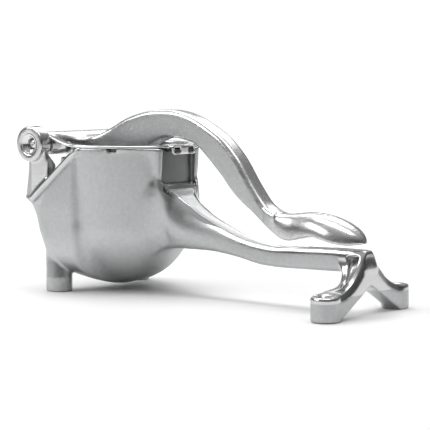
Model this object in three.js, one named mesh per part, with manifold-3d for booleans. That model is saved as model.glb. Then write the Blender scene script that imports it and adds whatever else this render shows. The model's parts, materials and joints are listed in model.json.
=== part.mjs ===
// A hand-operated citrus press in cast aluminium: an open bowl with a pouring lip,
// a long lower handle on a two-footed yoke, and an arched lever that swings on a
// cross axle over the lip and carries a domed press head into a perforated strainer.
// Frame: millimetres, +Z up, +X from the hinge towards the front feet, origin on
// the floor under the middle of the bounding box.
import * as THREE from "three";
import { mergeVertices } from "three/addons/utils/BufferGeometryUtils.js";
import Module from "manifold-3d";

// ---- driving dimensions (bowl axis at x = 0, y = 0 until the last lines) ----
const BOWL = { rim: 44, waist: 40.2, waistZ: 45, top: 89.4, wall: 3.6 };
const HINGE = { x: -38.4, z: 90.9, boss: 10.6, bossIn: 39.6, bossOut: 48, bore: 3.3 };
const AXLE = { r: 2.9, half: 45.2, dome: 1.2 };
const LIP = { x: -48, z: 57.4, underside: 51.4, side: 45, wall: 3.6 };
const REAR_LEG = { x: -25.3, y: 35.9, r: 8.1 };
const FOOT = { x: 175.6, y: 34.8, r: 7.65, height: 14, screw: 2.6 };
const CHEEK = { inner: 15, outer: 18.2, reach: 42.6, floor: 66.5 };
const HUB = { r: 7.2, half: 36.9, bore: 3.2 };
const ARM_WIDTH = 13;
const HEAD = { r: 31.5, top: 75.5, pinZ: 80, pinR: 2.5, lugIn: 7, lugOut: 11.5 };
const CUP = { r: 38.9, waist: 36.4, t: 1.1, top: 90.9, floor: 33, hole: 1.6 };
const GAP = 0.3;
const BOX_CENTRE_X = (FOOT.x + FOOT.r + HINGE.x - HINGE.boss) / 2;

// ---- solids ----
const wasm = await Module();
wasm.setup();

function solid(geometry) {
  const bare = new THREE.BufferGeometry();
  const source = geometry.index ? geometry.toNonIndexed() : geometry;
  bare.setAttribute("position", source.getAttribute("position"));
  const merged = mergeVertices(bare, 1e-4);
  const made = new wasm.Manifold(
    new wasm.Mesh({
      numProp: 3,
      vertProperties: merged.attributes.position.array,
      triVerts: new Uint32Array(merged.index.array),
    }),
  );
  return made;
}

function union(first, ...others) {
  return others.reduce((sum, next) => sum.add(next), first);
}

function mesh(name, shape, material) {
  const data = shape.getMesh();
  const geometry = new THREE.BufferGeometry();
  geometry.setAttribute("position", new THREE.BufferAttribute(data.vertProperties, 3));
  geometry.setIndex(new THREE.BufferAttribute(data.triVerts, 1));
  geometry.computeVertexNormals();
  const made = new THREE.Mesh(geometry, material);
  made.name = name;
  return made;
}

// A closed skin through rings of equal point counts, with flat ends.
function loft(rings) {
  const n = rings[0].length;
  const points = rings.flat();
  const faces = [];
  for (let i = 0; i + 1 < rings.length; i++) {
    for (let j = 0; j < n; j++) {
      const a = i * n + j;
      const b = i * n + ((j + 1) % n);
      faces.push(a, b, a + n, b, b + n, a + n);
    }
  }
  const last = (rings.length - 1) * n;
  for (let j = 1; j + 1 < n; j++) {
    faces.push(0, j + 1, j, last, last + j, last + j + 1);
  }
  let volume = 0;
  for (let i = 0; i < faces.length; i += 3) {
    const [a, b, c] = [points[faces[i]], points[faces[i + 1]], points[faces[i + 2]]];
    volume += a.dot(new THREE.Vector3().crossVectors(b, c));
  }
  if (volume < 0) faces.reverse();
  const geometry = new THREE.BufferGeometry().setFromPoints(points);
  geometry.setIndex(faces);
  return solid(geometry);
}

// A rounded rectangle of half sizes a and b with corner radius r, as 2-D points.
function roundedBox(a, b, r, steps = 3) {
  const points = [];
  const corners = [[a - r, b - r], [r - a, b - r], [r - a, r - b], [a - r, r - b]];
  corners.forEach(([cx, cy], quarter) => {
    for (let i = 0; i <= steps; i++) {
      const angle = (quarter + i / steps) * (Math.PI / 2);
      points.push([cx + r * Math.cos(angle), cy + r * Math.sin(angle)]);
    }
  });
  return points;
}

// A bar whose stations are [x, z, height, width], with smooth runs between them.
// Its sections stand square to the line of the stations, in planes that hold Y.
function bar(stations, { steps, corner = 0.35 }) {
  const line = new THREE.CatmullRomCurve3(
    stations.map(([x, z]) => new THREE.Vector3(x, 0, z)), false, "centripetal");
  const sizes = new THREE.CatmullRomCurve3(
    stations.map(([, , h, w], i) => new THREE.Vector3(h, w, i)), false, "centripetal");
  const rings = [];
  for (let i = 0; i <= steps; i++) {
    const t = i / steps;
    const at = line.getPoint(t);
    const along = line.getTangent(t);
    const size = sizes.getPoint(t);
    const half = [size.y / 2, size.x / 2];
    const r = Math.min(...half) * corner * 2 * 0.99;
    rings.push(roundedBox(half[0], half[1], r).map(([u, v]) =>
      new THREE.Vector3(at.x - along.z * v, u, at.z + along.x * v)));
  }
  return loft(rings);
}

function lathe(profile, segments = 64) {
  const geometry = new THREE.LatheGeometry(
    profile.map(([r, z]) => new THREE.Vector2(r, z)), segments);
  geometry.rotateX(Math.PI / 2);
  return solid(geometry);
}

// A cylinder along Y from y0 to y1.
function rod(radius, y0, y1, x, z, segments = 40) {
  const geometry = new THREE.CylinderGeometry(radius, radius, y1 - y0, segments);
  geometry.translate(x, (y0 + y1) / 2, z);
  return solid(geometry);
}

// A cone or cylinder standing on the floor's direction, from z0 to z1.
function post(r0, r1, z0, z1, x, y, segments = 40) {
  const geometry = new THREE.CylinderGeometry(r1, r0, z1 - z0, segments);
  geometry.rotateX(Math.PI / 2);
  geometry.translate(x, y, (z0 + z1) / 2);
  return solid(geometry);
}

function block(x0, x1, y0, y1, z0, z1) {
  const geometry = new THREE.BoxGeometry(x1 - x0, y1 - y0, z1 - z0);
  geometry.translate((x0 + x1) / 2, (y0 + y1) / 2, (z0 + z1) / 2);
  return solid(geometry);
}

function shapeOf(points) {
  return new THREE.Shape(points.map(([u, v]) => new THREE.Vector2(u, v)));
}

// An outline in X and Z, extruded from y0 to y1.
function plateXZ(points, y0, y1) {
  const geometry = new THREE.ExtrudeGeometry(shapeOf(points),
    { depth: y1 - y0, bevelEnabled: false });
  geometry.rotateX(Math.PI / 2);
  geometry.translate(0, y1, 0);
  return solid(geometry);
}

// An outline in Y and Z, extruded from x0 to x1.
function plateYZ(points, x0, x1) {
  const geometry = new THREE.ExtrudeGeometry(shapeOf(points),
    { depth: x1 - x0, bevelEnabled: false });
  geometry.rotateX(Math.PI / 2);
  geometry.rotateZ(Math.PI / 2);
  geometry.translate(x0, 0, 0);
  return solid(geometry);
}

// Points of an arc from angle a0 to a1, in degrees.
function arc(cx, cz, r, a0, a1, steps) {
  return Array.from({ length: steps + 1 }, (_, i) => {
    const angle = THREE.MathUtils.degToRad(a0 + ((a1 - a0) * i) / steps);
    return [cx + r * Math.cos(angle), cz + r * Math.sin(angle)];
  });
}

const bothSides = (make) => union(make(-1), make(1));
const between = (side, inner, outer) => (side < 0 ? [-outer, -inner] : [inner, outer]);

// ---- body casting ----
function bowlSolid(inset, top) {
  const r = BOWL.waist - inset;
  return lathe([
    ...arc(0, BOWL.waistZ, r, -90, 0, 12).map(([x, z], i) => [i ? x : 0, z]),
    [BOWL.rim - inset, top],
    [0, top],
  ]);
}

// The form behind the bowl that ends in the pouring lip: a loft of plan outlines.
function lipForm(inset) {
  const levels = [
    // z, rear x, half width at the rear, half width at the bowl, and at x = 8
    [9, -17, 26, 24, 13],
    [14, -25, 35.5, 33, 21],
    [20, -29.5, 40.5, 37.5, 28],
    [28, -33.4, 43, 41, 33],
    [36, -36.8, 44, 43, 38],
    [46, -39.6, 44.3, 43.6, 40],
    [LIP.underside, -42.2, LIP.side - 0.4, 44, 41],
    [LIP.z - 1.6, LIP.x, LIP.side, 44.3, 41],
    [BOWL.top, LIP.x, LIP.side, 44.3, 41],
  ];
  return loft(levels.map(([z, x, rear, front, nose]) => [
    [x + inset, -rear + inset + 4], [x + inset + 4, -rear + inset],
    [-6, -front + inset], [8, -nose + inset], [8, nose - inset],
    [-6, front - inset], [x + inset + 4, rear - inset], [x + inset, rear - inset - 4],
  ].map(([px, py]) => new THREE.Vector3(px, py, z))));
}

function hingePost(side) {
  const [y0, y1] = between(side, HINGE.bossIn, LIP.side);
  const [b0, b1] = between(side, HINGE.bossIn, HINGE.bossOut);
  const upright = plateXZ([
    [LIP.x, 56], [-47.6, 61], [-46, 68], [-44.6, 76], [-44.4, HINGE.z], [-28.4, HINGE.z],
    [-27, 84], [-26.4, 78], [-28.2, 66], [-30, 58],
  ], y0, y1);
  return upright.add(rod(HINGE.boss, b0, b1, HINGE.x, HINGE.z, 48));
}

function hingeBore(side) {
  const face = between(side, HINGE.bossOut - 3.4, HINGE.bossOut + 0.5);
  const cone = new THREE.CylinderGeometry(side > 0 ? 7 : 3.9, side > 0 ? 3.9 : 7,
    face[1] - face[0], 40);
  cone.translate(HINGE.x, (face[0] + face[1]) / 2, HINGE.z);
  const [y0, y1] = between(side, HINGE.bossIn - 2, HINGE.bossOut + 1);
  return solid(cone).add(rod(HINGE.bore, y0, y1, HINGE.x, HINGE.z, 32));
}

function rearLeg(side) {
  const { x, y, r } = REAR_LEG;
  return post(r, r, 0, 26, x, side * y).add(post(r, r + 0.8, 26, 46, x, side * (y - 1.2)));
}

// Side wall of the recess; its outer face turns from the handle's side to the rim.
function cheek(side) {
  const levels = [
    // z, setback of the front, then two places on the outer face
    [60, 1.7, 30, 19, 19.2],
    [72, 1.0, 30, 19.8, 20],
    [80, 0.5, 31.2, 23.5, 24],
    [BOWL.top, 0, 34, 28, 30],
  ];
  return loft(levels.map(([z, back, x, y, inside]) => [
    [20, CHEEK.inner], [CHEEK.reach - back, CHEEK.inner],
    [CHEEK.reach - back, CHEEK.outer], [x, y], [20, inside],
  ].map(([px, py]) => new THREE.Vector3(px, side * py, z))));
}

function lowerHandle() {
  return bar([
    [30, 46, 34, 37], [42, 47.6, 38, 33], [51, 44.6, 31, 23], [62, 40.6, 22.4, 17.4],
    [76, 36.9, 15.8, 14.4], [90, 33.3, 12.4, 13.3], [104, 30.3, 11.6, 13],
    [122, 29, 11.6, 13.2], [145, 29.5, 12.2, 13.4], [168, 30.2, 12.4, 13.6],
    [181.4, 30.3, 12.4, 13.6],
  ], { steps: 28, corner: 0.16 });
}

function yokeLeg(side) {
  const outline = [
    [-2, 16.6], [-2, 36.2], [2.3, 35.9], [5, 33.4], [7.9, 29.2], [9.7, 26.6],
    [12.6, 23.4], [17.1, 19.6], [23.6, 16], [29, 14.4], [33, FOOT.height],
    [35, FOOT.height], [35, 1.2], [28.5, 1.2], [0.5, 16.6],
  ].map(([y, z]) => [y * side, z]);
  return plateYZ(side < 0 ? outline : outline.reverse(), 168, 182.6);
}

function foot(side) {
  return post(FOOT.r, FOOT.r, 0, FOOT.height, FOOT.x, side * FOOT.y, 40);
}

// The yoke's front face leans back towards its crown.
function yokeTrim() {
  return plateXZ([
    [184, 40], [184, 12], [182.7, 12], [182.4, 25], [179.5, 36], [178.4, 40],
  ], -26, 26);
}

function bodyCasting() {
  const outside = union(
    bowlSolid(0, BOWL.top),
    lipForm(0),
    bothSides(hingePost),
    bothSides(rearLeg),
    bothSides(cheek),
    lowerHandle(),
    bothSides(yokeLeg),
    bothSides(foot),
  );
  const slope = (BOWL.top - 2 - LIP.z) / (-3 + 41);
  const noseCut = plateXZ([
    [-60, LIP.z - 0.2], [-41, LIP.z], [-3, LIP.z + 38 * slope], [0, 100], [-60, 100],
  ], -60, 60).subtract(bothSides((side) => {
    const [y0, y1] = between(side, HINGE.bossIn, 60);
    return plateXZ([[-60, 50], [-60, 110], [-26, 110], [-26, 69], [-41, LIP.z]], y0, y1);
  }));
  const channel = lipForm(LIP.wall).intersect(block(-60, 0, -50, 50, 15.5, 100));
  const mouth = block(LIP.x - 2, -30, -LIP.side + LIP.wall, LIP.side - LIP.wall, LIP.z, 100);
  return outside
    .subtract(noseCut)
    .subtract(bowlSolid(BOWL.wall, BOWL.top + 1))
    .subtract(channel)
    .subtract(mouth)
    .subtract(block(40, 60, -CHEEK.inner, CHEEK.inner, CHEEK.floor, 100))
    .subtract(bothSides(hingeBore))
    .subtract(bothSides((side) =>
      post(FOOT.screw, FOOT.screw, -1, FOOT.height + 1, FOOT.x, side * FOOT.y, 24)))
    .subtract(yokeTrim());
}

// ---- lever ----
function leverArm() {
  return bar([
    [-36, 89.6, 8, ARM_WIDTH], [-22, 90, 9, ARM_WIDTH], [-8, 94.5, 14, ARM_WIDTH],
    [8, 98.6, 19, ARM_WIDTH], [25, 102.6, 18, ARM_WIDTH], [42, 103.4, 16, ARM_WIDTH],
    [58.5, 99.4, 15.5, ARM_WIDTH], [73, 90, 15, ARM_WIDTH], [85.5, 77.4, 14, 13.5],
    [96, 64, 12.6, 14.5], [106, 53.4, 11.8, 16], [118, 47.6, 11.4, 18],
    [128, 46.6, 12, 22], [140, 48.6, 12.6, 27], [152, 48.4, 12, 28],
    [163, 46.2, 9.4, 24], [171, 43.4, 6.4, 16], [175.5, 41.6, 3.6, 8],
  ], { steps: 60, corner: 0.4 });
}

// The root spreads from the arm to the hub like a fan.
function leverFan() {
  const half = [[-38.4, 27, 4.6], [-34, 24, 4.2], [-28, 14, 4.4], [-20, 6.4, 4.6]];
  return loft(half.map(([x, w, h]) => [
    [w, -h], [w, h * 0.6], [w - 3, h], [3 - w, h], [-w, h * 0.6], [-w, -h],
  ].map(([y, z]) => new THREE.Vector3(x, y, 89.2 + z))));
}

function pressLever() {
  const web = plateXZ([
    [-32, 88], [-31, 84.4], [-20, 84], [-9, 78], [-5, HEAD.pinZ - 5], [5, HEAD.pinZ - 5],
    [11, 78], [16, 84], [24, 92], [14, 98], [-12, 93],
  ], -ARM_WIDTH / 2, ARM_WIDTH / 2);
  return union(
    rod(HUB.r, -HUB.half, HUB.half, HINGE.x, HINGE.z, 48),
    leverFan(),
    leverArm(),
    web,
  )
    .subtract(rod(HUB.bore, -60, 60, HINGE.x, HINGE.z, 32))
    .subtract(rod(HEAD.pinR + GAP, -20, 20, 0, HEAD.pinZ, 24));
}

// ---- press head ----
function pressHead() {
  const dome = lathe([
    [0, 41.5], [8, 42.2], [15.5, 46], [22, 52], [27, 59.5], [HEAD.r - 1.2, 68.5],
    [HEAD.r, 70], [HEAD.r, HEAD.top - 1.5], [HEAD.r - 1.5, HEAD.top], [24, HEAD.top],
    [21, 70.5], [13, 68], [0, 68],
  ], 56);
  const rib = (side) => {
    const [y0, y1] = between(side, HEAD.lugIn, HEAD.lugOut);
    return union(
      rod(6.2, y0, y1, 0, HEAD.pinZ, 32),
      plateXZ([[-9, 66], [-6.2, HEAD.pinZ], [6.2, HEAD.pinZ], [9, 66]], y0, y1),
    );
  };
  return union(dome, bothSides(rib))
    .subtract(rod(HEAD.pinR + GAP, -20, 20, 0, HEAD.pinZ, 24));
}

function headPin() {
  return rod(HEAD.pinR, -14.5, 14.5, 0, HEAD.pinZ, 28);
}

function headClip(side) {
  const [y0, y1] = between(side, HEAD.lugOut + GAP, HEAD.lugOut + GAP + 1);
  return rod(4.3, y0, y1, 0, HEAD.pinZ, 28)
    .subtract(rod(HEAD.pinR + GAP, y0 - 1, y1 + 1, 0, HEAD.pinZ, 28))
    .subtract(block(-1.6, 1.6, y0 - 1, y1 + 1, HEAD.pinZ - 6, HEAD.pinZ));
}

// ---- hinge pieces ----
function hingeAxle() {
  const profile = [
    [0, -AXLE.half], [0.5, -AXLE.half], [0.7, -AXLE.half - 0.5], [1.6, -AXLE.half - 0.4],
    [2.5, -AXLE.half + 0.3], [AXLE.r, -AXLE.half + AXLE.dome],
  ];
  const mirrored = profile.map(([r, y]) => [r, -y]).reverse();
  const geometry = new THREE.LatheGeometry(
    [...profile, ...mirrored].map(([r, y]) => new THREE.Vector2(r, y)), 32);
  geometry.translate(HINGE.x, 0, HINGE.z);
  return solid(geometry);
}

// A polished dished washer seated in the mouth of each boss.
function cupWasher(side) {
  const face = HINGE.bossOut - 0.2;
  const ring = [[3.5, face - 3], [5.4, face - 0.9], [6.1, face], [5.4, face], [3.5, face - 2.2]];
  const geometry = new THREE.LatheGeometry(
    [...ring, ring[0]].map(([r, y]) => new THREE.Vector2(r, y)), 40);
  if (side < 0) geometry.rotateX(Math.PI);
  geometry.translate(HINGE.x, 0, HINGE.z);
  return solid(geometry);
}

function thrustWasher(side) {
  const [y0, y1] = between(side, HUB.half + GAP, HUB.half + GAP + 0.7);
  return rod(6.4, y0, y1, HINGE.x, HINGE.z, 36)
    .subtract(rod(AXLE.r + GAP, y0 - 1, y1 + 1, HINGE.x, HINGE.z, 32));
}

// ---- strainer ----
const EAR = { y0: HUB.half + 2 * GAP + 0.7, y1: HUB.half + 2 * GAP + 1.8, r: 7.2 };

function ear(side) {
  const [y0, y1] = between(side, EAR.y0, EAR.y1);
  const strap = plateXZ([
    [HINGE.x, HINGE.z - 4], [HINGE.x, HINGE.z + EAR.r], [-31, 96.2], [-22, 93.2],
    [-12, 91.4], [-6, 90.9], [-6, 88.2], [-16, 87], [-28, 86.8],
  ], y0, y1);
  return strap.add(rod(EAR.r, y0, y1, HINGE.x, HINGE.z, 36));
}

function strainerCup() {
  const wall = CUP.r - CUP.t;
  const waist = CUP.waist - CUP.t;
  const shell = lathe([
    [0, CUP.floor], [12, CUP.floor + 0.6], [22, CUP.floor + 3.4], [29.5, CUP.floor + 8.6],
    [34, CUP.floor + 15.5], [CUP.waist, CUP.floor + 24], [CUP.r, CUP.top - CUP.t],
    [43.6, CUP.top - CUP.t], [43.6, CUP.top], [wall, CUP.top], [waist, CUP.floor + 24.2],
    [32.9, CUP.floor + 16], [28.7, CUP.floor + 9.4], [21.6, CUP.floor + 4.5],
    [11.8, CUP.floor + 1.7], [0, CUP.floor + CUP.t],
  ], 48);
  const notch = plateXZ([
    [-60, 79.5], [-33, 79.5], [-22, 83.5], [-13, 92], [-13, 120], [-60, 120],
  ], -EAR.y0 + 0.6, EAR.y0 - 0.6);
  const outerNotch = plateXZ([
    [-60, 79.5], [-33, 79.5], [-22, 86], [-9, 88], [-9, 120], [-60, 120],
  ], -60, 60);
  const lip = union(
    block(36, 46.5, -11, 11, CUP.top - CUP.t, CUP.top),
    block(45.4, 46.5, -11, 11, 84.6, CUP.top),
  );
  const slots = union(
    block(44, 50, -9.2, -3.6, 85.8, 89.2),
    block(44, 50, 3.6, 9.2, 85.8, 89.2),
  );
  const drains = [];
  for (const [ring, count] of [[8, 6], [16, 12], [24, 18]]) {
    for (let i = 0; i < count; i++) {
      const angle = ((i + 0.5) / count) * 2 * Math.PI;
      drains.push(post(CUP.hole, CUP.hole, CUP.floor - 4, CUP.floor + 12,
        ring * Math.cos(angle), ring * Math.sin(angle), 6));
    }
  }
  return union(shell, lip)
    .subtract(notch)
    .subtract(outerNotch)
    .add(bothSides(ear))
    .subtract(slots)
    .subtract(union(...drains))
    .subtract(rod(AXLE.r + GAP, -60, 60, HINGE.x, HINGE.z, 32));
}

// ---- materials ----
const metal = (color, roughness) =>
  new THREE.MeshStandardMaterial({ color, roughness, metalness: 0.9 });
const castAluminium = metal(0xc9cacb, 0.42);
const polishedAluminium = metal(0xdfe0e1, 0.2);
const polishedSteel = metal(0xd6d8da, 0.12);
const brightSteel = metal(0xe4e5e6, 0.08);

// ---- assembly ----
const group = new THREE.Group();
group.position.x = -BOX_CENTRE_X;
group.add(
  mesh("body_casting", bodyCasting(), castAluminium),
  mesh("press_lever", pressLever(), polishedAluminium),
  mesh("press_head", pressHead(), castAluminium),
  mesh("head_pin", headPin(), brightSteel),
  mesh("head_pin_clip_near", headClip(-1), brightSteel),
  mesh("head_pin_clip_far", headClip(1), brightSteel),
  mesh("hinge_axle", hingeAxle(), brightSteel),
  mesh("hinge_cup_washer_near", cupWasher(-1), brightSteel),
  mesh("hinge_cup_washer_far", cupWasher(1), brightSteel),
  mesh("hinge_thrust_washer_near", thrustWasher(-1), polishedSteel),
  mesh("hinge_thrust_washer_far", thrustWasher(1), polishedSteel),
  mesh("strainer_cup", strainerCup(), polishedSteel),
);

export default group;
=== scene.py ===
"""Looks of a hand-operated citrus press in cast aluminium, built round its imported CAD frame.

The castings and the strainer are modelled as fields of distances in millimetres, with x
measured from the bowl's axis, and turned into fine meshes. Each is built for y >= 0 and
mirrored. All outlines below are lists of points in those millimetres.
"""
import json
import math

import bpy
import numpy as np
import openvdb
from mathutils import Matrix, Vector


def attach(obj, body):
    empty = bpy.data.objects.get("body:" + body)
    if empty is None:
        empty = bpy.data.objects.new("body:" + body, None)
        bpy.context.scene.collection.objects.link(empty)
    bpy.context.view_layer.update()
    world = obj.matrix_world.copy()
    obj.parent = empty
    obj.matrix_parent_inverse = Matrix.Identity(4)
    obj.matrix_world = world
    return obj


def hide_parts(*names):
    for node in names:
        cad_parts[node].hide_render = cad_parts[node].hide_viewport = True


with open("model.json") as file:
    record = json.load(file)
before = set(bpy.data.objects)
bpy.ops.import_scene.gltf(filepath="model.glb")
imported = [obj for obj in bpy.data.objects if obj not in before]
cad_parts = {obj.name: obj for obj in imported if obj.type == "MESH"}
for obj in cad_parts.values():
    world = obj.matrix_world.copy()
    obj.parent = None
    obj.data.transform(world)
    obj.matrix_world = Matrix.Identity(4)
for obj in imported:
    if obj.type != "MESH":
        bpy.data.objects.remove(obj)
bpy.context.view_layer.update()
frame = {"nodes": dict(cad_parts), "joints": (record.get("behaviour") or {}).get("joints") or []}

MM = 0.001
FAR = 60.0                  # the distance that an empty field holds
ADAPT = 0.006               # how far flat stretches may be joined into larger faces
SATIN_DEPTH = -5.0          # polish attribute of blasted skin; above 0 is polished
PAINTED_SHADE_DEPTH = -20.0           # polish attribute of the recess between the cheeks, whose colour is darkened as painted shade
JOINTS = {joint["name"]: joint for joint in frame["joints"]}
AXIS_X = JOINTS["head_tilt"]["pos_m"][0]
HINGE_X = (JOINTS["lever_swing"]["pos_m"][0] - AXIS_X) / MM
HINGE_Z = JOINTS["lever_swing"]["pos_m"][2] / MM
PIN_Z = JOINTS["head_tilt"]["pos_m"][2] / MM

# ---- driving dimensions ----
RIM_R = 44.0
WAIST_R = 40.2
WAIST_Z = 45.0
TOP = 89.4
WALL = 3.6
BOSS_R = 10.9
BOSS_IN = 39.6
BOSS_OUT = 48.4
LIP_X = -48.0
LIP_Z = 57.4
REAR_LEG = (-25.3, 35.9, 8.1)
FOOT = (175.8, 34.9, 7.85)
FOOT_TOP = 14.0
CHEEK_IN = 15.0
RECESS_FLOOR = 66.6
POST_BORE = 3.3
HUB_R = 6.8
HUB_HALF = 36.9
HUB_BORE = 3.2
PIN_BORE = 2.8
SCREW_R = 2.6
SCREW_CONE_R = 3.8
AXLE_R = 2.9
AXLE_HALF = 45.2

# ---- studio ----
FLOOR_R = 2.5
# grey level by compass direction, as a share of a turn: 0 is -X, 0.25 is -Y, 0.5 is +X
ROOM = [(0.0, 0.6), (0.08, 0.45), (0.22, 0.45), (0.32, 0.35), (0.37, 0.06), (0.5, 0.05),
        (0.6, 0.15), (0.74, 0.5), (0.8, 1.02), (0.92, 1.02), (1.0, 0.6)]
# how much of that is left, by the height of a direction, and how much is ceiling instead
ABOVE = [(0.0, 1.0), (0.045, 1.0), (0.1, 0.3), (0.3, 0.3), (1.0, 0.3)]
CEILING = 0.5
CEILING_SHARE = [(0.0, 0.0), (0.3, 0.1), (0.6, 0.5), (0.8, 1.0), (1.0, 1.0)]


# ---- fields ----
def soft_min(a, b, blend=0.0):
    """The lower value, rounded off where the two are within blend of each other."""
    reach = np.maximum(blend, 1e-4)
    h = np.maximum(reach - np.abs(a - b), 0) / reach
    return np.minimum(a, b) - h * h * reach * 0.25


def soft_max(a, b, blend=0.0):
    return -soft_min(-a, -b, blend)


def step_up(value, low, high):
    """A smooth step from 0 at low to 1 at high."""
    t = np.clip((value - low) / (high - low), 0, 1)
    return t * t * (3 - 2 * t)


def smooth(points, per=6):
    """A Catmull-Rom curve through the points; two points stay a straight line."""
    p = np.array(points, float)
    if len(p) < 3:
        return p
    p = np.vstack([2 * p[0] - p[1], p, 2 * p[-1] - p[-2]])
    t = np.linspace(0, 1, per, endpoint=False)[:, None]
    runs = []
    for a, b, c, d in zip(p, p[1:], p[2:], p[3:]):
        runs.append(0.5 * (2 * b + (c - a) * t + (2 * a - 5 * b + 4 * c - d) * t * t
                           + (3 * b - a - 3 * c + d) * t ** 3))
    return np.vstack([*runs, p[-2:-1]])


def ring(*runs):
    """A closed outline of smooth runs that meet at corners."""
    return np.vstack([smooth(run) for run in runs])


def along(points, value):
    """The smooth curve through (place, value) points, read at value's places."""
    line = smooth(points)
    return np.interp(value, line[:, 0], line[:, 1]).astype(np.float32)


def flat_distance(u, v, outline):
    """Signed distance of (u, v) to a closed outline, negative inside."""
    u, v = np.broadcast_arrays(u, v)
    nearest = np.full(u.shape, FAR * FAR, np.float32)
    inside = np.zeros(u.shape, bool)
    for (a, b), (c, d) in zip(outline, np.roll(outline, -1, 0)):
        eu, ev = c - a, d - b
        length2 = eu * eu + ev * ev
        if length2 < 1e-9:
            continue
        pu, pv = u - a, v - b
        t = np.clip((pu * eu + pv * ev) / length2, 0, 1)
        nearest = np.minimum(nearest, (pu - t * eu) ** 2 + (pv - t * ev) ** 2)
        if abs(ev) > 1e-9:
            inside ^= ((b <= v) != (d <= v)) & (pu < eu * pv / ev)
    return np.where(inside, -1, 1).astype(np.float32) * np.sqrt(nearest)


def capsule(x, y, z, a, b, ra, rb=None):
    """Distance to a rod from a to b whose radius runs from ra to rb."""
    rb = ra if rb is None else rb
    e = np.subtract(b, a)
    px, py, pz = x - a[0], y - a[1], z - a[2]
    t = np.clip((px * e[0] + py * e[1] + pz * e[2]) / (e @ e), 0, 1)
    gap = np.sqrt((px - t * e[0]) ** 2 + (py - t * e[1]) ** 2 + (pz - t * e[2]) ** 2)
    return gap - ra - (rb - ra) * t


def rod_y(x, y, z, cx, cz, radius, y0, y1, edge=0.0):
    """Distance to a cylinder along Y with rounded edges."""
    side = np.sqrt((x - cx) ** 2 + (z - cz) ** 2) - radius
    return soft_max(side, soft_max(y0 - y, y - y1), edge)


def post_z(x, y, z, cx, cy, radius, z0, z1, edge=0.0):
    """Distance to an upright cylinder with rounded edges."""
    side = np.sqrt((x - cx) ** 2 + (y - cy) ** 2) - radius
    return soft_max(side, soft_max(z0 - z, z - z1), edge)


def lowest(*values):
    return np.minimum.reduce([np.asarray(value, float) for value in values])


def highest(*values):
    return np.maximum.reduce([np.asarray(value, float) for value in values])


class Field:
    """Distances on a grid over y >= 0, negative inside the metal."""

    def __init__(self, low, high, step):
        self.low = np.array(low, float)
        self.step = step
        counts = [int(math.ceil((h - l) / step)) + 1 for l, h in zip(low, high)]
        x, y, z = (l + step * np.arange(n) for l, n in zip(low, counts))
        self.x = x.astype(np.float32)[:, None, None]
        self.y = y.astype(np.float32)[None, :, None]
        self.z = z.astype(np.float32)[None, None, :]
        self.d = np.full(counts, FAR, np.float32)

    def _part(self, shape, within):
        if within is None:
            return (slice(None),) * 3, shape(self.x, self.y, self.z)
        cut = []
        for axis, (low, high) in zip((self.x, self.y, self.z), within):
            places = np.nonzero((axis.ravel() >= low) & (axis.ravel() <= high))[0]
            cut.append(slice(places[0], places[-1] + 1))
        part = shape(self.x[cut[0]], self.y[:, cut[1]], self.z[:, :, cut[2]])
        return tuple(cut), part

    def join(self, shape, blend=0.0, within=None):
        cut, part = self._part(shape, within)
        self.d[cut] = soft_min(self.d[cut], part, blend)

    def carve(self, shape, blend=0.0, within=None):
        cut, part = self._part(shape, within)
        self.d[cut] = soft_max(self.d[cut], -part, blend)

    def keep(self, shape, blend=0.0):
        self.d = soft_max(self.d, shape(self.x, self.y, self.z), blend)

    def whole(self):
        """The values of both halves, and the lowest corner of their grid."""
        values = np.concatenate([self.d[:, :0:-1], self.d], axis=1)
        low = self.low.copy()
        low[1] = -self.step * (self.d.shape[1] - 1)
        return values, low


def sample(values, at):
    """Trilinear reading of values at fractional grid places."""
    at = np.clip(at, 0, np.array(values.shape) - 1.001)
    base = at.astype(int)
    f = at - base
    total = 0
    for i in (0, 1):
        for j in (0, 1):
            for k in (0, 1):
                weight = (np.abs(1 - i - f[:, 0]) * np.abs(1 - j - f[:, 1])
                          * np.abs(1 - k - f[:, 2]))
                total = total + weight * values[base[:, 0] + i, base[:, 1] + j, base[:, 2] + k]
    return total


def slope_at(values, at, reach):
    """The gradient of values at fractional grid places."""
    gradient = np.empty_like(at)
    for axis in range(3):
        side = np.zeros(3)
        side[axis] = reach
        gradient[:, axis] = sample(values, at + side) - sample(values, at - side)
    return gradient / (2 * reach)


def mesh_of(name, field, material, polish=None):
    """The field's zero surface as a smooth mesh, in metres in the frame. polish gives, from
    places and normals in millimetres, how polished each vertex is."""
    values, low = field.whole()
    volume = openvdb.FloatGrid()
    volume.copyFromArray(np.ascontiguousarray(np.clip(values, -4, 4)))
    at, triangles, quads = volume.convertToPolygons(0.0, ADAPT)
    at = at.astype(float)
    for _ in range(3):      # bring every point onto the zero surface itself
        gradient = slope_at(values, at, 0.4)
        size = np.maximum((gradient ** 2).sum(1), 0.04 * field.step ** 2)
        move = gradient * (sample(values, at) / size)[:, None]
        at -= np.clip(move, -0.6, 0.6)
    normals = slope_at(values, at, 0.8)
    normals /= np.maximum(np.linalg.norm(normals, axis=1), 1e-9)[:, None]
    places = low + at * field.step
    a, b, c = (places[quads[:, i].astype(int)] for i in range(3))
    if (np.cross(b - a, c - a) * normals[quads[:, 0].astype(int)]).sum() < 0:
        quads, triangles = quads[:, ::-1], triangles[:, ::-1]
    mesh = bpy.data.meshes.new(name)
    world = places * MM + np.array([AXIS_X, 0, 0])
    mesh.from_pydata(world.tolist(), [], quads.tolist() + triangles.tolist())
    mesh.validate()
    mesh.shade_smooth()
    if len(mesh.vertices) == len(normals):
        mesh.normals_split_custom_set_from_vertices(normals.tolist())
    layer = mesh.attributes.new("polish", "FLOAT", "POINT")
    amount = np.full(len(places), SATIN_DEPTH) if polish is None else polish(places, normals)
    layer.data.foreach_set("value", np.asarray(amount, np.float32))
    made = bpy.data.objects.new(name, mesh)
    bpy.context.scene.collection.objects.link(made)
    mesh.materials.append(material)
    return made


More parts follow.
